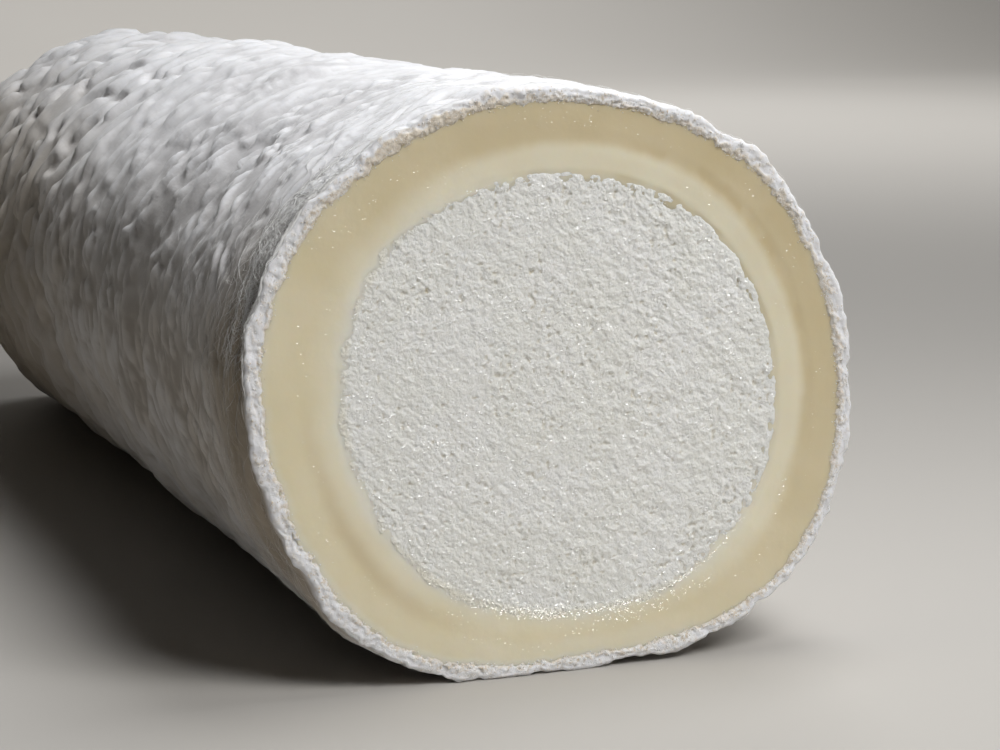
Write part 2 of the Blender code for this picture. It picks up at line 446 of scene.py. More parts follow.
def rind_look():
    """White mould felt: greyer in creases as painted shade; warmer, browner and darker low down and on the
    left flank, partly its own tone and partly painted shade; crumbly beige where it is cut.
    """
    look = Look("bloomy_rind")
    fibres = look.noise(1.0, 3.0, 0.6, look.stretched((190.0, 620.0, 190.0)))
    age_and_shade = look.attribute("age_and_shade")
    white = look.blend(look.ramp(fibres, 0.35, 0.72), colour(0.905, 0.91, 0.94), colour(0.83, 0.83, 0.845))
    worn = look.ramp(look.noise(20 * MM, 4.0, 0.6), 0.40, 0.66, 0.45, 0.95)
    # Darker, warmer felt low down and far from the cut: partly ageing, partly painted shade.
    old_and_shaded_felt = look.blend(worn, white, colour(0.66, 0.60, 0.52))
    felt = look.blend(look.ramp(age_and_shade, 0.0, 1.0, 0.05, 0.85), white, old_and_shaded_felt)
    # Grey in the creases, browner in low ones and in the cut rim's pits: painted shade in the creases.
    crease = look.ramp(look.attribute("crease"), 0.12, 0.85)
    painted_crease_shade = look.blend(age_and_shade, colour(0.60, 0.59, 0.60), colour(0.40, 0.355, 0.30))
    felt_and_crease_shade = look.blend(look.times(crease, 0.85), felt, painted_crease_shade)
    # Brown over the left flank by the cut and low down far from it: partly brown tone, partly painted
    # shade.
    outside = look.blend(look.times(look.attribute("brown_and_shade"), 0.9), felt_and_crease_shade, colour(0.40, 0.335, 0.25))
    mottle = look.noise(0.7 * MM, 3.0, 0.7)
    crumbs = look.blend(look.ramp(mottle, 0.36, 0.56), colour(0.75, 0.66, 0.54), colour(0.95, 0.94, 0.93))
    pink = look.ramp(look.noise(2.4 * MM, 2.0), 0.50, 0.72)
    pinkish = look.blend(look.times(pink, 0.5), crumbs, colour(0.90, 0.81, 0.74))
    cut = look.blend(look.attribute("beige"), pinkish, colour(0.74, 0.65, 0.52))
    base = look.blend(look.attribute("cut"), outside, cut)
    fibre_bump = look.bump(fibres, 0.16 * MM, 0.25)
    felt_bump = look.bump(look.noise(0.5 * MM, 3.0, 0.7), 0.20 * MM, 0.4, fibre_bump)
    torn = look.times(look.attribute("cut"), look.noise(0.40 * MM, 4.0, 0.7))
    felt_bump = look.bump(torn, 0.25 * MM, 0.7, felt_bump)
    look.principled(Base_Color=base, Roughness=0.85, Sheen_Weight=0.25, Sheen_Roughness=0.5,
                    Specular_IOR_Level=0.25, Subsurface_Weight=0.12, Subsurface_Scale=0.6 * MM,
                    Subsurface_Radius=(1.0, 0.9, 0.8), Normal=felt_bump)
    return look.material


def cream_look():
    """Glossy translucent ripened layer, pale next to the core and ochre under the rind, with an olive line
    along the core's edge on the right that is partly tint and partly painted shade.
    """
    look = Look("ripened_layer")
    clouds = look.ramp(look.noise(9 * MM, 1.0, 0.5), 0.25, 0.75)
    pale = look.blend(clouds, colour(0.86, 0.79, 0.605), colour(0.885, 0.825, 0.65))
    light = look.blend(clouds, colour(0.825, 0.74, 0.51), colour(0.855, 0.775, 0.57))
    deep = look.blend(clouds, colour(0.70, 0.597, 0.385), colour(0.735, 0.632, 0.425))
    outer = look.blend(look.attribute("dark"), light, deep)
    stained = look.blend(look.attribute("stain"), outer, colour(0.64, 0.52, 0.30))
    base = look.blend(look.attribute("band"), pale, stained)
    curdy = look.blend(look.attribute("curdy"), base, colour(0.925, 0.895, 0.80))
    # Olive line at the core's edge on the right: partly olive tint, partly painted shade of the layer's
    # slope down to the core.
    seamed_and_shaded = look.blend(look.attribute("seam"), curdy, colour(0.70, 0.61, 0.41))
    fine = look.bump(look.noise(1.3 * MM, 3.0, 0.5), 0.04 * MM, 0.5)
    gloss = look.ramp(look.noise(5.0 * MM, 1.0, 0.5), 0.3, 0.7, 0.30, 0.38)
    look.principled(Base_Color=seamed_and_shaded, Roughness=gloss, Subsurface_Weight=0.7, Subsurface_Scale=1.6 * MM,
                    Subsurface_Radius=(1.0, 0.85, 0.6), Specular_IOR_Level=0.5, Coat_Weight=0.2,
                    Coat_Roughness=0.15, Normal=fine)
    return look.material


def core_look():
    """Chalky white curd with darker ochre pits, partly tint and partly painted shade, creamy where its edge
    is soft, and a faint moist gleam.
    """
    look = Look("chalky_core")
    clouds = look.noise(11 * MM, 3.0, 0.5)
    base = look.blend(look.ramp(clouds, 0.35, 0.65), colour(0.95, 0.945, 0.905), colour(0.92, 0.915, 0.865))
    # Pits darker and ochre: partly ochre tint, partly painted shade in the pits.
    specks = look.ramp(look.noise(1.9 * MM, 3.0, 0.6), 0.60, 0.72)
    pit_tint_and_shade = look.blend(specks, colour(0.72, 0.68, 0.58), colour(0.62, 0.53, 0.30))
    base = look.blend(look.times(look.attribute("pit"), 0.75), base, pit_tint_and_shade)
    base = look.blend(look.times(look.attribute("edge"), 0.75), base, colour(0.91, 0.87, 0.74))
    lumps = look.bump(look.noise(0.9 * MM, 2.0, 0.6), 0.25 * MM, 0.6)
    grains = look.bump(look.grains(0.55 * MM), 0.12 * MM, 0.5, lumps)
    grain = look.bump(look.noise(0.34 * MM, 4.0, 0.75), 0.20 * MM, 0.75, grains)
    gloss = look.ramp(look.noise(0.6 * MM, 2.0, 0.6), 0.35, 0.70, 0.70, 0.22)
    look.principled(Base_Color=base, Roughness=gloss, Subsurface_Weight=0.3, Subsurface_Scale=0.6 * MM,
                    Subsurface_Radius=(1.0, 0.95, 0.85), Specular_IOR_Level=0.4, Normal=grain)
    return look.material


def moist_look(name, tone):
    """Smooth wet surface that throws back sharp glints."""
    look = Look(name)
    look.principled(Base_Color=tone, Roughness=0.06, Specular_IOR_Level=0.7, Coat_Weight=1.0,
                    Coat_Roughness=0.03)
    return look.material


def crumb_look():
    """Torn crumbs of rind."""
    look = Look("crumbs")
    tone = look.ramp(look.noise(1.6 * MM, 2.0), 0.45, 0.65)
    base = look.blend(tone, colour(0.88, 0.87, 0.86), colour(0.78, 0.69, 0.56))
    look.principled(Base_Color=base, Roughness=0.6, Normal=look.bump(look.noise(0.3 * MM, 2.0), 0.08 * MM))
    return look.material


def thread_look():
    """Fine white mould threads."""
    look = Look("mould_threads")
    tone = look.blend(look.noise(4 * MM, 1.0), colour(0.84, 0.83, 0.80), colour(0.92, 0.92, 0.92))
    look.principled(Base_Color=tone, Roughness=0.6, Sheen_Weight=0.5)
    return look.material


def floor_look():
    """Plain pale matt floor."""
    look = Look("floor")
    tone = look.ramp(look.noise(0.5, 2.0), 0.3, 0.7)
    look.principled(Base_Color=look.blend(tone, colour(0.46, 0.44, 0.41), colour(0.48, 0.46, 0.43)),
                    Roughness=0.7)
    return look.material


class Rings:
    """Rings of points that are gathered with some values each."""

    def __init__(self, keys):
        self.keys = keys
        self.rings = []
        self.sharp = []
        self.values = {key: [] for key in keys}

    def add(self, steps, rule):
        """Add a ring; the rule gives a point and its values at an angle."""
        places = [rule(math.tau * step / steps) for step in range(steps)]
        self.rings.append([place[0] for place in places])
        for number, key in enumerate(self.keys):
            self.values[key].extend(place[number + 1] for place in places)

    def mesh(self, name, first, last):
        """Closed mesh of the rings."""
        return tube_mesh(name, self.rings, first, last, self.values, self.sharp)


def age_and_shade(point):
    """How much the rind is darkened and warmed at a place: 0 on top, 1 low down, and more far from the cut;
    partly ageing, partly painted shade.
    """
    away = smooth_step((point.y - 90 * MM) / (130 * MM))
    return smooth_step((0.80 + 0.36 * away - point.z / RIND_RADIUS) / 0.95)


def browned_and_shaded(angle, along):
    """How much the left flank is browned and darkened beside the cut and low down far from it, from 0 to 1:
    partly a brown tone, partly painted shade.
    """
    by_cut = min(1.0, 1.6 * turn_hump(angle, 191, 54)) * (1.0 - smooth_step((along - 8 * MM) / (15 * MM)))
    low = max(0.92 * turn_hump(angle, 187, 70), turn_hump(angle, 214, 48))
    far_low = low * smooth_step((along - 90 * MM) / (110 * MM))
    return max(by_cut, far_low)


def rim_place(angle, share):
    """Place on the cut rind: a crumbly beige band inside, an uneven white skin outside."""
    outer, _ = rind_point(angle, 0.0)
    point = section_point(angle, rind_inside(angle), 0.0).lerp(outer, share)
    skin = 0.46 + 0.20 * turn_hump(angle, 120, 50) - 0.20 * turn_hump(angle, 195, 60)
    skin += 0.22 * noise.noise(point / (3.6 * MM)) + 0.30 * noise.noise(point / (1.1 * MM))
    on_skin = smooth_step((share - skin) / 0.16 + 0.5)
    curls = 1.3 * noise.noise(point / (0.45 * MM)) + 0.9 * noise.noise(point / (1.1 * MM))
    tufts = abs(noise.noise(point / (0.95 * MM) + Vector((2.0, 5.0, 7.0))))
    clumps = noise.noise(point / (1.7 * MM) + Vector((6.0, 1.0, 3.0)))
    pit = smooth_step((noise.noise(point / (0.85 * MM) + Vector((9.0, 0.0, 4.0))) - 0.24) / 0.25)
    # Height of the torn inner band, then of the white skin round it
    crumbly = mix(-0.10 * MM, 0.20 * MM, smooth_step(share / 0.35)) + 0.13 * MM * curls
    crumbly += 0.30 * MM * (0.42 - tufts)
    crumbly -= 0.20 * MM * pit * smooth_step(share / 0.15)
    proud = RIM_PROUD + RIM_UNEVEN * rim_wave(angle, 3.0) + 0.07 * MM * curls + 0.24 * MM * clumps
    proud -= 0.10 * MM * pit + 0.16 * MM * (tufts - 0.2)
    streaks = noise.noise(section_point(angle, RIND_RADIUS / (2.5 * MM), share / 0.16))
    proud += 0.09 * MM * streaks - 0.20 * MM * rim_kinks(angle)
    proud *= smooth_step((1.0 - share) / 0.24 + 0.12)
    point.y = -mix(crumbly, proud, on_skin)
    if share <= 0.0:
        point.y = 0.45 * MM
    stain = smooth_step((noise.noise(point / (0.9 * MM) + Vector((1.0, 8.0, 2.0))) - 0.12) / 0.25)
    cut = max(1.0 - on_skin, 0.5 * stain)
    beige = max(0.75 * turn_hump(angle, 118, 42), 0.55 * turn_hump(angle, 40, 50))
    beige = max(beige, 0.60 * (1.0 - smooth_step((share - 0.05) / 0.25)))
    # Pits get a crease value and more of the low-down darkening, which make them darker: painted shade in
    # the pits.
    return point, mix(0.6, 0.45, on_skin) * pit, cut, mix(0.10, 0.6, pit) * age_and_shade(point), 0.0, beige


def side_place(angle, along, inset=0.0, tilt=0.0):
    """Place on the rind's outside, with its crease value, age and brownness; the last two also carry
    painted shade.
    """
    place, crease = rind_point(angle, along, inset, tilt)
    from_rim = smooth_step(along / (1.5 * MM))
    age_and_shade_here = age_and_shade(place) * mix(0.3, 1.0, from_rim)
    return place, crease * from_rim, 0.0, age_and_shade_here, browned_and_shaded(angle, along) * from_rim, 0.0


def buried_place(angle, along, share):
    """Hidden place at a share of the rind's inner radius."""
    return section_point(angle, share * rind_inside(angle), along), 0.5, 1.0, 0.5, 0.0, 0.0


def add_rind_piece(name, shell, first, last, material):
    """One of the rind's two parts."""
    mesh = shell.mesh(name, Vector((0.0, first, 0.0)), Vector((0.0, last, 0.0)))
    return add_piece(name, mesh, material, "rind_and_creamline")


def make_near_rind(material):
    """Rind from its crumbly cut rim to the seam, a thick-walled tube with a closed far end."""
    shell = Rings(RIND_VALUES)
    for along, share in ((SEAM, 0.5), (SEAM, 0.9), (0.5 * SEAM, 0.97), (4 * MM, 1.0)):
        shell.add(RIM_STEPS // 2, lambda angle: buried_place(angle, along, share))
    for step in range(RIM_RINGS):
        shell.add(RIM_STEPS, lambda angle: rim_place(angle, step / (RIM_RINGS - 1)))
    rim_count = round(RIM_REACH / RIM_STEP)
    for step in range(1, rim_count + 1):
        shell.add(RIM_STEPS, lambda angle: side_place(angle, step * RIM_STEP))
    count = math.ceil((SEAM - RIM_REACH) / NEAR_STEP)
    for step in range(1, count + 1):
        shell.add(RIM_STEPS, lambda angle: side_place(angle, mix(RIM_REACH, SEAM, step / count)))
    shell.sharp.append(len(shell.rings) - 1)
    shell.add(RIM_STEPS // 2, lambda angle: buried_place(angle, SEAM + SEAM_OVERLAP, SEAM_SHARE))
    return add_rind_piece("bloomy_rind", shell, SEAM, SEAM + SEAM_OVERLAP, material)


def make_far_rind(material):
    """Rind from the seam over the rounded edge and the slightly domed far end."""
    shell = Rings(RIND_VALUES)
    steps = RIM_STEPS // 2
    shell.add(steps, lambda angle: buried_place(angle, SEAM, SEAM_SHARE))
    shell.sharp.append(1)
    shell.add(steps, lambda angle: side_place(angle, SEAM))
    end = LENGTH - END_DEPTH
    count = math.ceil((end - SEAM) / FAR_STEP)
    for step in range(1, count + 1):
        shell.add(steps, lambda angle: side_place(angle, mix(SEAM, end, step / count)))
    for step in range(1, END_TURNS + 1):
        turn = 0.5 * math.pi * step / END_TURNS
        along = end + (END_DEPTH - END_DOME) * math.sin(turn)
        inset = END_INSET * (1.0 - math.cos(turn))
        shell.add(steps // 2 if step > 1 else steps, lambda angle: side_place(angle, along, inset, turn))
    for step in range(1, END_DOMES):
        share = 1.0 - step / END_DOMES

        def dome(angle):
            radius = section_radius(RIND_RADIUS, RIND_WAVES, angle)
            inset = radius - share * (radius - END_INSET)
            return side_place(angle, LENGTH - END_DOME * share * share, inset, 0.5 * math.pi)

        shell.add(steps // 2, dome)
    return add_rind_piece("bloomy_rind_far", shell, SEAM, LENGTH, material)


def right_side(angle):
    """How far a place round the turn lies on the side where the pale band ends sharply, 0 to 1."""
    return smooth_step(0.3 + 0.9 * math.cos(angle - math.radians(40)))


def cream_place(angle, share):
    """Place on the ripened layer's cut face, at a share of the way from the core to the rind."""
    inside = CORE_CENTRE + section_point(angle, section_radius(CORE_RADIUS, CORE_WAVES, angle), 0.0)
    point = inside.lerp(section_point(angle, rind_inside(angle), 0.0), share)
    sharp = right_side(angle)
    height = sharp * 0.06 * MM * hump(share, 0.36, 0.22)
    height -= turn_hump(angle, 25, 75) * 0.07 * MM * hump(share, 0.54, 0.14)
    height -= 0.06 * MM * sharp * hump(share, 0.02, 0.10)
    height += 0.14 * MM * noise.noise(point / (11 * MM)) + 0.04 * MM * noise.noise(point / (3 * MM))
    height -= 0.45 * MM * smooth_step((-0.06 - share) / 0.22)
    point.y = -height
    return point


def make_cream():
    """Ripened layer: a cup round the core, its cut face with the soft ridge."""
    cup = Rings(("band", "dark", "stain", "seam", "curdy"))
    depth = LENGTH - CORE_END_COVER

    def bore(angle, along, share=1.0):
        radius = section_radius(CORE_RADIUS, CORE_WAVES, angle) - 0.4 * MM
        return CORE_CENTRE + section_point(angle, share * radius, along), 0.0, 0.0, 0.0, 0.0, 0.0

    cup.add(CREAM_STEPS, lambda angle: bore(angle, depth, 0.5))
    for share in (1.0, 0.66, 0.33, 0.03):
        cup.add(CREAM_STEPS, lambda angle: bore(angle, depth * share))

    def face(angle, share):
        point = cream_place(angle, share)
        side = right_side(angle)
        wave = 0.05 * noise.noise(point / (9 * MM)) + 0.02 * noise.noise(point / (2.5 * MM))
        band = smooth_step(0.5 + 0.5 * (share + wave - mix(0.31, 0.43, side)) / mix(0.24, 0.09, side))
        dark = smooth_step(0.5 + 0.62 * math.cos(angle - math.radians(50)))
        dark = max(dark, 0.95 * turn_hump(angle, 212, 45) * hump(share + wave, 0.42, 0.22))
        cloud = smooth_step(0.5 + 1.4 * noise.noise(point / (5.5 * MM)))
        stain = 0.34 * turn_hump(angle, 38, 50) * smooth_step((share - 0.66) / 0.25) * mix(0.4, 1.0, cloud)
        spots = turn_hump(angle, 38, 62) * hump(share + wave, 0.54, 0.12)
        stain += 0.6 * spots * smooth_step((cloud - 0.40) / 0.35)
        stain += 0.20 * turn_hump(angle, 222, 32) * hump(share + wave, 0.45, 0.28)
        # Olive line by the core's edge on the right, partly painted shade of the slope there.
        seam = turn_hump(angle, 45, 85) * (1.0 - smooth_step((share + wave - 0.035) / 0.06))
        curdy = 0.60 * (1.0 - side) * (1.0 - smooth_step((share + 1.5 * wave) / 0.20))
        low = turn_hump(angle, 272, 55)
        curdy += 0.28 * low * smooth_step((share + wave - 0.45) / 0.3)
        curdy += 0.35 * turn_hump(angle, 225, 95) * smooth_step((share - 0.90) / 0.08)
        return point, band, dark, min(1.0, stain), seam * mix(0.45, 1.0, cloud), min(1.0, curdy)

    for step in range(CREAM_RINGS):
        cup.add(CREAM_STEPS, lambda angle: face(angle, mix(*CREAM_FACE, step / (CREAM_RINGS - 1))))

    def outer(angle, along, share=1.0):
        return section_point(angle, share * (rind_inside(angle) + 0.7 * MM), along), 1.0, 0.5, 0.0, 0.0, 0.0

    for along, share in ((1.5 * MM, 1.0), (14 * MM, 0.96), (depth * 0.5, 0.91), (LENGTH - 20 * MM, 0.91),
                         (LENGTH - 5 * MM, 0.78)):
        cup.add(CREAM_STEPS, lambda angle: outer(angle, along, share))
    mesh = cup.mesh("ripened_layer", CORE_CENTRE + Vector((0.0, depth, 0.0)),
                    Vector((0.0, LENGTH - 5 * MM, 0.0)))
    return add_piece("ripened_layer", mesh, cream_look(), "rind_and_creamline")


def curd_height(point):
    """Height of the curd's grain at a place on the core's face, and how deep in a pit it is."""
    drawn = Vector((point.x * 0.77 - point.z * 0.64, 0.0, point.x * 0.64 + point.z * 0.77))
    drag = Vector((drawn.x / 1.4, 0.0, drawn.z))
    bend = noise.noise_vector(drag / (1.4 * MM)) * (0.45 * MM)
    near, _ = noise.voronoi((drag + bend) / (0.80 * MM))
    smeared = smooth_step(0.5 - point.x / (40 * MM))
    lumps = noise.noise((drag + bend) / (2.2 * MM)) + 0.9 * noise.noise(point / (1.1 * MM))
    grain = noise.noise((drag + 2.0 * bend) / (0.52 * MM))
    strokes = noise.noise(Vector((drawn.x / (4.0 * MM), 7.0, drawn.z / (0.70 * MM))) + bend / (2 * MM))
    place = noise.noise(point / (0.72 * MM) + Vector((3.0, 8.0, 1.0)))
    crowd = noise.noise(point / (6.0 * MM) + Vector((1.0, 4.0, 6.0)))
    pit = smooth_step((place + 0.35 * crowd - 0.47) / 0.20)
    line = 1.0 - abs(noise.noise((drag + bend) / (1.5 * MM) + Vector((5.0, 1.0, 2.0)))) / 0.10
    pit = max(pit, smooth_step(line) * smooth_step((crowd - 0.13) / 0.2) * smooth_step(place / 0.3))
    height = mix(0.19, 0.12, smeared) * MM * (0.5 - near[0]) + mix(0.15, 0.09, smeared) * MM * lumps
    height += mix(0.10, 0.07, smeared) * MM * grain + mix(0.02, 0.06, smeared) * MM * strokes
    return height - 0.22 * MM * pit, pit


def core_reach(angle):
    """Width over which the core's face sinks into the ripened layer, least where its edge is crisp."""
    return mix(3.2, 1.5, right_side(angle)) * MM


def core_face(point, angle, inward):
    """Height of the core's face over the cut, and how deep in a pit the place is."""
    height, pit = curd_height(point)
    low = turn_hump(angle, 255, 60)
    ragged = 0.42 * MM * noise.noise(point / (2.3 * MM)) + 0.11 * MM * noise.noise(point / (0.6 * MM))
    sunk = 1.0 - smooth_step((inward + ragged * (1.0 - 0.6 * low)) / core_reach(angle))
    smeared = 0.5 * low * (1.0 - smooth_step(inward / (7 * MM)))
    smeared = max(smeared, mix(0.62, 0.75, low) * (1.0 - smooth_step((inward - 0.8 * MM) / (2.2 * MM))))
    lowest = CORE_EDGE_SUNK * mix(1.0, 2.0, right_side(angle))
    return mix(CURD_PROUD, lowest, sunk) + height * (1.0 - smeared), pit


def make_core():
    """Chalky core: finely grained cut face and a plain hidden body."""
    cells = CORE_CELLS
    points, pits, fades = [], [], []
    for row in range(cells + 1):
        for column in range(cells + 1):
            u = 2.0 * column / cells - 1.0
            v = 2.0 * row / cells - 1.0
            x = u * math.sqrt(1.0 - 0.5 * v * v)
            z = v * math.sqrt(1.0 - 0.5 * u * u)
            angle = math.atan2(z, x)
            radius = section_radius(CORE_RADIUS, CORE_WAVES, angle) + CORE_OVERLAP * core_reach(angle)
            point = CORE_CENTRE + section_point(angle, math.hypot(x, z) * radius, 0.0)
            inward = (1.0 - math.hypot(x, z)) * radius
            height, pit = core_face(point, angle, inward)
            point.y = -height
            points.append(point)
            pits.append(pit)
            soft = 1.0 - smooth_step((inward / core_reach(angle) - 0.70) / 0.50)
            fades.append(soft * (1.0 - right_side(angle)))
    faces = []
    for row in range(cells):
        for column in range(cells):
            corner = row * (cells + 1) + column
            faces.append((corner, corner + 1, corner + cells + 2, corner + cells + 1))
    edge = list(range(cells))
    edge += [row * (cells + 1) + cells for row in range(cells)]
    edge += [cells * (cells + 1) + cells - column for column in range(cells)]
    edge += [(cells - row) * (cells + 1) for row in range(cells)]
    depth = LENGTH - CORE_END_COVER
    start = len(points)
    for along in (CORE_BODY_START, depth):
        for index in edge:
            inner = CORE_CENTRE + (points[index] - CORE_CENTRE) * CORE_BODY_SHARE
            points.append(Vector((inner.x, along, inner.z)))
    points.append(CORE_CENTRE + Vector((0.0, depth, 0.0)))
    pits += [0.0] * (len(points) - len(pits))
    fades += [0.0] * (len(points) - len(fades))
    for step, index in enumerate(edge):
        after = (step + 1) % len(edge)
        low, high = start + step, start + len(edge) + step
        next_low, next_high = start + after, start + len(edge) + after
        faces.append((edge[after], index, low, next_low))
        faces.append((next_low, low, high, next_high))
        faces.append((next_high, high, len(points) - 1))
    mesh = bpy.data.meshes.new("curd_core")
    mesh.from_pydata([tuple(point) for point in points], [], faces)
    mesh.attributes.new("pit", "FLOAT", "POINT").data.foreach_set("value", pits)
    mesh.attributes.new("edge", "FLOAT", "POINT").data.foreach_set("value", fades)
    return add_piece("curd_core", mesh, core_look(), "chalky_core")


def joined_mesh(name, parts):
    """One mesh of many small closed shapes, each given as points and faces."""
    points, faces = [], []
    for part_points, part_faces in parts:
        start = len(points)
        points += [tuple(point) for point in part_points]
        faces += [tuple(start + index for index in face) for face in part_faces]
    mesh = bpy.data.meshes.new(name)
    mesh.from_pydata(points, [], faces)
    return mesh


def glint(place, width, draw, longest=1.5):
    """Low wet wedge, whose one broad side leans back from its proud lower edge and faces up."""
    lean = math.radians(draw.gauss(30.0 - 0.15 * place.z / MM, 5.0))
    turn = math.radians(draw.gauss(-2.0 - 0.12 * place.x / MM, 6.0))
    stretch = draw.uniform(0.8, longest)
    up = Vector((0.0, math.sin(lean), math.cos(lean)))
    aside = Vector((math.cos(turn), math.sin(turn), 0.0))
    sides = 6
    rim = []
    for side in range(sides):
        angle = math.tau * (side + 0.5) / sides
        reach = width * draw.uniform(0.75, 1.0)
        rim.append(place + aside * (stretch * reach * math.cos(angle)) + up * (reach * math.sin(angle)))
    bottom = place + Vector((0.0, 0.9 * width, 0.0))
    faces = [tuple(range(sides))]
    faces += [((side + 1) % sides, side, sides) for side in range(sides)]
    return rim + [bottom], faces


# Wet beads on the ripened layer: angle in degrees, share of the way out, spread in degrees, count
BEAD_CLUSTERS = (
    (96, 0.80, 3, 14), (86, 0.78, 3, 16), (74, 0.74, 2, 5), (66, 0.72, 2, 5), (52, 0.30, 4, 9),
    (43, 0.80, 2, 5), (31, 0.45, 3, 9), (27, 0.75, 3, 9), (14, 0.30, 4, 6), (3, 0.70, 3, 5),
    (118, 0.35, 6, 12), (128, 0.70, 4, 8), (137, 0.62, 5, 14), (146, 0.80, 3, 8), (158, 0.30, 5, 8),
    (172, 0.60, 4, 6), (190, 0.45, 5, 6), (207, 0.70, 4, 7), (226, 0.55, 5, 9), (243, 0.35, 4, 12),
    (252, 0.60, 4, 9), (264, 0.72, 4, 8), (276, 0.45, 5, 14), (291, 0.35, 5, 30), (304, 0.30, 4, 22),
    (318, 0.60, 4, 8), (334, 0.40, 4, 8), (349, 0.65, 4, 6),
)

# Glints by the core's edge: middle and spread in degrees, way out and its spread in mm, count
WET_EDGE = (
    (263, 6.0, 0.0, 0.55, 290), (258, 5.0, -0.7, 0.6, 110), (268, 4.5, -0.3, 0.5, 110),
    (280, 4.0, -0.2, 0.3, 120), (286, 3.5, 1.3, 0.7, 90), (290, 3.5, 0.0, 0.3, 60),
    (299, 4.0, 1.4, 0.7, 50), (302, 3.5, 0.0, 0.16, 110), (315, 5.0, 0.0, 0.25, 50),
    (249, 4.5, 0.1, 0.5, 80), (237, 5.0, 0.2, 0.6, 45), (226, 5.0, 0.1, 0.6, 15),
)

# How many small things are drawn, and the range of their sizes
BEAD_WIDTHS = (0.05 * MM, 0.12 * MM)
EDGE_GLINT_WIDTHS = (0.035 * MM, 0.080 * MM)
CORE_GLINT_TRIES = 11000
CORE_GLINT_WIDTHS = (0.042 * MM, 0.092 * MM)
BORDER_CRUMBS = 900
BORDER_CRUMB_SIZES = (0.06 * MM, 0.17 * MM)
RIM_CRUMBS = 2600
RIM_CRUMB_SIZES = (0.07 * MM, 0.20 * MM)
THREADS = 2000
THREAD_RADII = (0.012 * MM, 0.021 * MM)
HOLLOW_THREADS = 1300
HOLLOW_THREAD_RADII = (0.022 * MM, 0.042 * MM)


def core_rim_place(angle, beyond):
    """Place just proud of the cut at a distance out from the core's edge, on core or ripened layer."""
    radius = section_radius(CORE_RADIUS, CORE_WAVES, angle)
    point = CORE_CENTRE + section_point(angle, radius + beyond, 0.0)
    core_height, _ = core_face(point, angle, CORE_OVERLAP * core_reach(angle) - beyond)
    layer = cream_place(angle, beyond / (9 * MM))
    point.y = min(-core_height, layer.y) - 0.06 * MM
    return point


def make_beads():
    """Wet glints on the ripened layer, most along the core's lower edge."""
    draw = random.Random(5)
    parts = []
    for degrees, share, spread, count in BEAD_CLUSTERS:
        for _ in range(count):
            angle = math.radians(degrees + draw.gauss(0.0, spread))
            out = min(0.97, max(0.03, share + draw.gauss(0.0, 0.06)))
            parts.append(glint(cream_place(angle, out), draw.uniform(*BEAD_WIDTHS), draw))
    for middle, spread, out, out_spread, count in WET_EDGE:
        for _ in range(count):
            angle = math.radians(draw.gauss(middle, spread))
            beyond = draw.gauss(out, out_spread) * MM
            place = core_rim_place(angle, beyond)
            parts.append(glint(place, draw.uniform(*EDGE_GLINT_WIDTHS), draw, 2.0))
    mesh = joined_mesh("wet_beads", parts)
    # Beads whiter than the ripened layer, so that they read as glints: a painted highlight on top of their
    # real reflection.
    look = moist_look("moisture_painted_sparkle", colour(0.92, 0.88, 0.76))
    return add_piece("wet_beads", mesh, look, None, smooth=False)


def make_core_glints():
    """Tiny moist grains that glint on the core."""
    draw = random.Random(17)
    parts = []
    for _ in range(CORE_GLINT_TRIES):
        angle = draw.uniform(0.0, math.tau)
        share = math.sqrt(draw.random())
        radius = section_radius(CORE_RADIUS, CORE_WAVES, angle)
        point = CORE_CENTRE + section_point(angle, share * radius, 0.0)
        strings = 1.0 - abs(noise.noise(point / (1.6 * MM) + Vector((4.0, 2.0, 9.0)))) / 0.16
        if max(strings, noise.noise(point / (5 * MM))) + draw.uniform(-0.5, 0.5) < 0.25:
            continue
        height, _ = core_face(point, angle, (1.0 - share) * radius + CORE_OVERLAP * core_reach(angle))
        point.y = -(height + 0.07 * MM)
        parts.append(glint(point, draw.uniform(*CORE_GLINT_WIDTHS), draw))
    mesh = joined_mesh("core_glints", parts)
    # Grains whiter than the curd, so that they read as sparkles: a painted highlight on top of their real
    # reflection.
    look = moist_look("moist_grains_painted_sparkle", colour(0.97, 0.965, 0.95))
    return add_piece("core_glints", mesh, look, None, smooth=False)


def crumb(place, size, draw):
    """Angular crumb: a squashed octahedron with uneven corners."""
    corners = ((1, 0, 0), (0, 1, 0), (-1, 0, 0), (0, -1, 0), (0, 0, 1), (0, 0, -1))
    points = [place + Vector(corner) * size * draw.uniform(0.45, 1.0) for corner in corners]
    faces = []
    for step in range(4):
        after = (step + 1) % 4
        faces.append((step, after, 4))
        faces.append((after, step, 5))
    return points, faces


def make_crumbs():
    """Crumbs torn off along the rind's inner border and on its cut."""
    draw = random.Random(11)
    parts = []
    for _ in range(BORDER_CRUMBS):
        place = cream_place(draw.uniform(0.0, math.tau), 1.05 - abs(draw.gauss(0.0, 0.035)))
        place.y -= 0.03 * MM
        parts.append(crumb(place, draw.uniform(*BORDER_CRUMB_SIZES), draw))
    for _ in range(RIM_CRUMBS):
        place = rim_place(draw.uniform(0.0, math.tau), draw.uniform(0.05, 0.92))[0]
        parts.append(crumb(place, draw.uniform(*RIM_CRUMB_SIZES), draw))
    return add_piece("rind_crumbs", joined_mesh("rind_crumbs", parts), crumb_look(), None,
                     smooth=False)


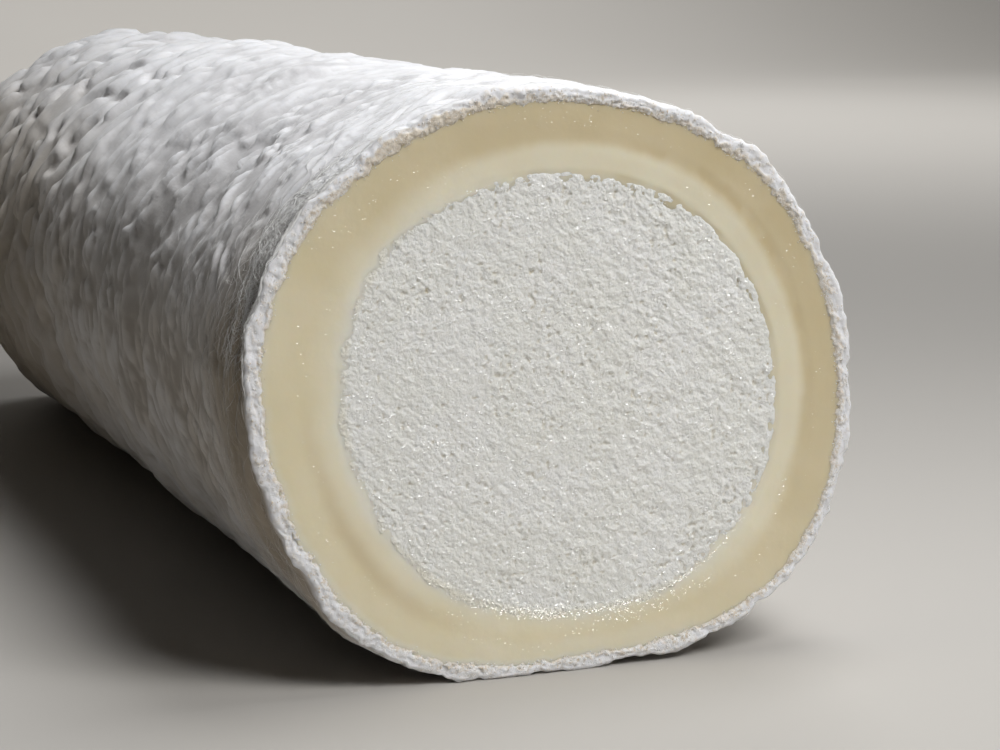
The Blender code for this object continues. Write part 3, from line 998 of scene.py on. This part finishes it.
def thread(places, radius):
    """Thin three-sided thread through places, pointed at both ends."""
    points = [places[0]]
    faces = []
    heading = (places[-1] - places[0]).normalized()
    side = heading.orthogonal().normalized()
    other = heading.cross(side)
    for middle in places[1:-1]:
        for corner in range(3):
            angle = math.tau * corner / 3
            points.append(middle + (side * math.cos(angle) + other * math.sin(angle)) * radius)
    points.append(places[-1])
    levels = len(places) - 2
    for corner in range(3):
        after = (corner + 1) % 3
        faces.append((0, 1 + after, 1 + corner))
        for level in range(levels - 1):
            low = 1 + 3 * level
            faces.append((low + corner, low + after, low + 3 + after, low + 3 + corner))
        last = 1 + 3 * (levels - 1)
        faces.append((last + corner, last + after, len(points) - 1))
    return points, faces


def lying_thread(angle, along, curl, draw):
    """Thread that wanders over the rind from a place, and lifts off it in its middle."""
    round_step = draw.uniform(0.006, 0.026) * draw.choice((-1, 1))
    along_step = draw.gauss(0.0, 0.35) * MM
    lift = draw.uniform(0.05, 0.40) * MM
    places = []
    for step in range(6):
        place, _ = rind_point(angle, max(0.1 * MM, along))
        rise = lift * math.sin(math.pi * (step + 0.4) / 5.8)
        places.append(place + section_point(angle, rise, 0.0))
        round_step += draw.gauss(0.0, 0.006) * curl
        along_step += draw.gauss(0.0, 0.22) * MM * curl
        angle += round_step
        along += along_step
    return places


def make_threads():
    """Mould threads that lie loosely on the rind, densest in the hollow beside the cut."""
    draw = random.Random(23)
    parts = []
    for _ in range(THREADS):
        along = 0.4 * MM + abs(draw.gauss(0.0, 20.0)) * MM
        places = lying_thread(draw.uniform(0.0, math.tau), along, 0.5, draw)
        radius = draw.uniform(*THREAD_RADII)
        if min(place.z for place in places) > -FOOT_DROP + 1.5 * MM:
            parts.append(thread(places, radius))
    for _ in range(HOLLOW_THREADS):
        angle = math.radians(draw.gauss(153.0, 9.0))
        places = lying_thread(angle, 0.8 * MM + abs(draw.gauss(0.0, 3.2)) * MM, 1.4, draw)
        parts.append(thread(places, draw.uniform(*HOLLOW_THREAD_RADII)))
    return add_piece("mould_threads", joined_mesh("mould_threads", parts), thread_look(), None)


def make_floor():
    """Wide pale floor just under the log, which curves up far behind it."""
    half = 4.0
    bend_start, bend_radius, bend_steps, height = 1.5, 1.0, 24, 3.0
    profile = [(-half, 0.0), (bend_start, 0.0)]
    for step in range(1, bend_steps + 1):
        turn = 0.5 * math.pi * step / bend_steps
        profile.append((bend_start + bend_radius * math.sin(turn), bend_radius * (1.0 - math.cos(turn))))
    profile.append((bend_start + bend_radius, height))
    points = [(across, along, up) for along, up in profile for across in (-half, half)]
    faces = [(2 * row, 2 * row + 1, 2 * row + 3, 2 * row + 2) for row in range(len(profile) - 1)]
    mesh = bpy.data.meshes.new("floor")
    mesh.from_pydata(points, [], faces)
    mesh.materials.append(floor_look())
    mesh.shade_smooth()
    floor = bpy.data.objects.new("floor", mesh)
    floor.location.z = -0.05 * MM
    bpy.context.scene.collection.objects.link(floor)


def aimed(thing, place, target):
    """Put a lamp or a camera at a place, looking at a target."""
    thing.location = place
    thing.rotation_euler = (Vector(target) - Vector(place)).to_track_quat("-Z", "Y").to_euler()
    bpy.context.scene.collection.objects.link(thing)
    return thing


def make_lamp(name, place, target, size, watts, tone, spread):
    """Soft square lamp."""
    lamp = bpy.data.lights.new(name, "AREA")
    lamp.shape = "SQUARE"
    lamp.size = size
    lamp.energy = watts
    lamp.spread = math.radians(spread)
    lamp.color = tone
    return aimed(bpy.data.objects.new(name, lamp), place, target)


def make_studio():
    """Soft light from above, a little from the right and the front, and a dim surround."""
    for lamp in LAMPS:
        make_lamp(*lamp)
    world = bpy.data.worlds.new("surround")
    world.use_nodes = True
    background = world.node_tree.nodes["Background"]
    background.inputs["Color"].default_value = SURROUND_TONE
    background.inputs["Strength"].default_value = SURROUND_STRENGTH
    scene = bpy.context.scene
    scene.world = world
    scene.view_settings.view_transform = "Standard"


def make_camera():
    """Camera at the photograph's place, aimed just left of the cut face's middle."""
    lens = bpy.data.cameras.new("camera")
    lens.sensor_width = SENSOR_MM
    lens.lens = FOCAL_PIXELS / FRAME_PIXELS * SENSOR_MM
    lens.clip_start = 0.01
    ahead = Vector((math.sin(CAMERA_AZIMUTH) * math.cos(CAMERA_PITCH),
                    math.cos(CAMERA_AZIMUTH) * math.cos(CAMERA_PITCH), -math.sin(CAMERA_PITCH)))
    target = AXIS + AIM + FACE_MIDDLE
    bpy.context.scene.camera = aimed(bpy.data.objects.new("camera", lens), target - ahead * CAMERA_DISTANCE,
                                     target)


noise.seed_set(NOISE_SEED)
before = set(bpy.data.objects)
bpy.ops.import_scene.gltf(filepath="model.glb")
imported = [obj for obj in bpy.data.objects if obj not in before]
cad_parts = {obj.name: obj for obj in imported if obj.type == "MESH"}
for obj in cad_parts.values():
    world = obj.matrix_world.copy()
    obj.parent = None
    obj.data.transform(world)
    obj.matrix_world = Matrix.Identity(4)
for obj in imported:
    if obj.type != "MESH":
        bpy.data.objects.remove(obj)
solid_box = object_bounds()

# Where the log's own axis and cut lie in the row's frame: the core is centred on CORE_CENTRE
core_low, core_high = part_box("chalky_core")
AXIS = (core_low + core_high) / 2 - CORE_CENTRE
AXIS.y = solid_box[1].y - LENGTH
FACE_MIDDLE = Vector((-AXIS.x + 0.12 * MM, 0.0, 42.03 * MM - AXIS.z))

make_camera()
make_studio()
make_floor()
rind_material = rind_look()
make_near_rind(rind_material)
make_far_rind(rind_material)
make_cream()
make_core()
make_beads()
make_core_glints()
make_crumbs()
make_threads()
